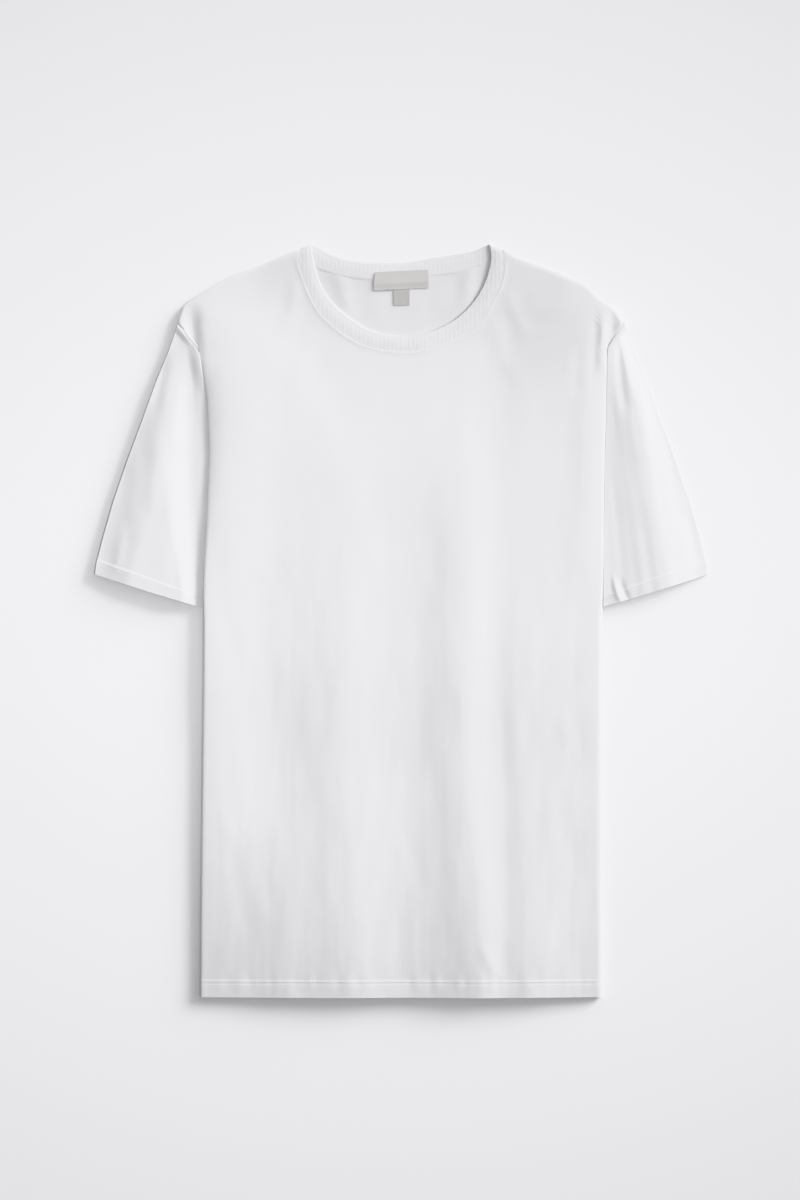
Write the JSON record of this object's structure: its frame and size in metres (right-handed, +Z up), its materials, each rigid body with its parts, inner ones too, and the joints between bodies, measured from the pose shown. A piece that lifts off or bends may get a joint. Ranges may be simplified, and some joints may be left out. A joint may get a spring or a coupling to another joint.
{
  "type": "crew neck t-shirt laid flat",
  "caption": "White short-sleeved crew neck t-shirt lying flat, its sides tucked under, with a ribbed neckband, neck tape and blank labels.",
  "frame": {"origin": "on the surface it lies on, under the middle of the outline", "axes": "+X across the shirt to the right as seen from above with the neck at the top, +Y from the hem to the neck, +Z up from the surface"},
  "size_m": [0.5818, 0.7128, 0.0161],
  "materials": {
    "jersey_front": "white cotton jersey, matt with a faint sheen",
    "jersey_back": "white cotton jersey, matt with a faint sheen",
    "jersey_sleeve_left": "white cotton jersey, matt with a faint sheen",
    "jersey_sleeve_right": "white cotton jersey, matt with a faint sheen",
    "rib": "white one by one rib, doubled",
    "tape": "white self-fabric neck tape",
    "woven_label": "pale grey woven label, blank",
    "woven_tab": "pale grey woven tab, blank"
  },
  "bodies": {
    "root": {"front": "jersey_front", "back": "jersey_back", "sleeve_left": "jersey_sleeve_left", "sleeve_right": "jersey_sleeve_right", "neckband": "rib", "neck_tape": "tape", "main_label": "woven_label", "size_tab": "woven_tab"}
  },
  "joints": []
}
